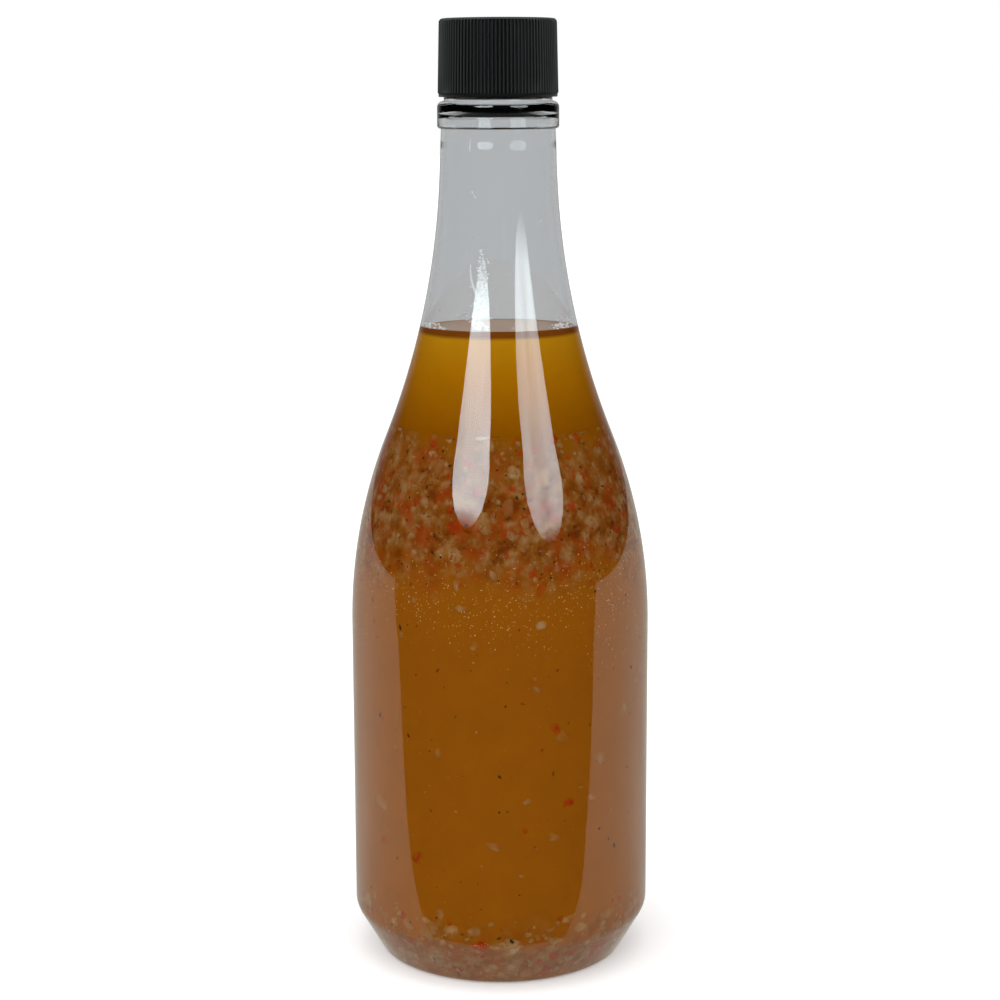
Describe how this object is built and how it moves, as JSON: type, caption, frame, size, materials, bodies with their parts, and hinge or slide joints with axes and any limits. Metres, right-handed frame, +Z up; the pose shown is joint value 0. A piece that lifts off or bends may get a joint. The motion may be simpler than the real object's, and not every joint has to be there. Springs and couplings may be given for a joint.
{
  "type": "salad dressing bottle",
  "caption": "Clear long-necked plastic bottle with a black ribbed screw cap, filled with layered dressing: oil, floating herbs and garlic, cloudy vinegar and sediment.",
  "frame": {"origin": "centre of the standing ring, on the plane the bottle stands on", "axes": "+Z up along the bottle's axis of revolution, from the base to the cap; X and Y are equal"},
  "size_m": [0.073, 0.073, 0.2286],
  "materials": {
    "clear_pet": "gloss",
    "black_cap_plastic": "semi-gloss, fine vertical ribs",
    "amber_oil": "clear liquid",
    "herb_raft": "herbs, garlic and pepper in oil",
    "cloudy_vinegar": "cloudy liquid",
    "herb_sediment": "settled herbs, garlic and pepper"
  },
  "bodies": {
    "root": {"bottle": "clear_pet", "cap": "black_cap_plastic", "oil_layer": "amber_oil", "herb_layer": "herb_raft", "vinegar_layer": "cloudy_vinegar", "sediment_layer": "herb_sediment"}
  },
  "joints": []
}
